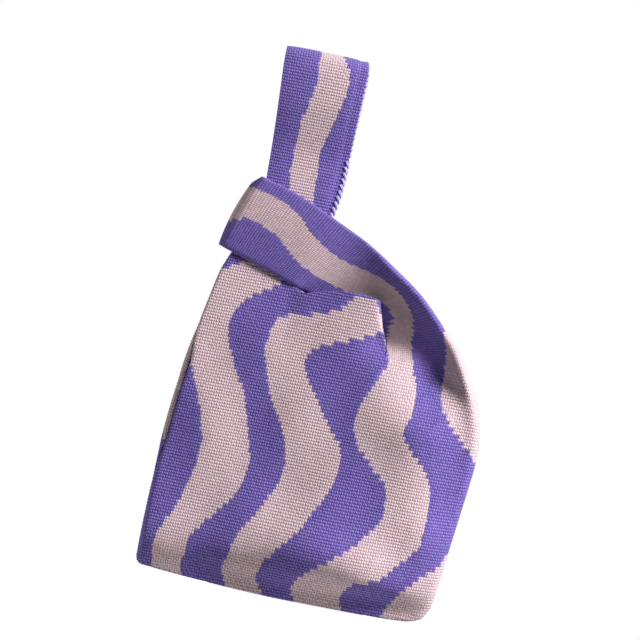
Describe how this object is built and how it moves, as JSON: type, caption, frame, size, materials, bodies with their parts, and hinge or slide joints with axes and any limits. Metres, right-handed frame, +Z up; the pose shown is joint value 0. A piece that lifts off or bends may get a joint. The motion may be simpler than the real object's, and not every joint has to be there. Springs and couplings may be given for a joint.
{
  "type": "knot bag",
  "caption": "Small knitted wrist bag whose long handle passes through its short handle, which slides along it to draw the mouth shut.",
  "frame": {"origin": "under the middle of the long handle's arch, where a hand or a hook carries the bag", "axes": "+X across the bag from the long handle towards the short handle's shoulder, -Y out of the front, +Z up along the long handle"},
  "size_m": [0.202, 0.0504, 0.3518],
  "materials": {
    "jacquard_knit": "two-colour jacquard knit, violet with wavy dusty pink stripes, matt",
    "lining_cloth": "plain woven lining in dark violet, matt",
    "seam_thread": "violet linking yarn, matt",
    "edging_yarn": "light violet overcast yarn, matt"
  },
  "bodies": {
    "long_handle": {"long_handle_grip": "jacquard_knit", "grip_edge_seam": "edging_yarn", "long_handle_front_leg": "jacquard_knit", "long_handle_back_leg": "jacquard_knit", "front_leg_edge_seam": "edging_yarn", "back_leg_edge_seam": "edging_yarn"},
    "bag": {"front_panel": "jacquard_knit", "back_panel": "jacquard_knit", "front_lining": "lining_cloth", "back_lining": "lining_cloth", "left_side_seam": "seam_thread", "right_side_seam": "seam_thread", "bottom_seam": "seam_thread", "front_root_edge_seam": "edging_yarn", "back_root_edge_seam": "edging_yarn"},
    "short_loop": {"short_handle_front": "jacquard_knit", "short_handle_back": "jacquard_knit", "short_handle_loop_seam": "seam_thread"}
  },
  "joints": [
    {"name": "bag_swing", "type": "hinge", "parent": "long_handle", "child": "bag", "pos_m": [0, 0, -0.05], "axis": [1, 0, 0], "range_deg": [-60, 60], "deforming": ["long_handle_front_leg", "long_handle_back_leg", "front_leg_edge_seam", "back_leg_edge_seam"]},
    {"name": "loop_slide", "type": "slide", "parent": "bag", "child": "short_loop", "axis": [0, 0, 1], "range_m": [0, 0.02]}
  ]
}
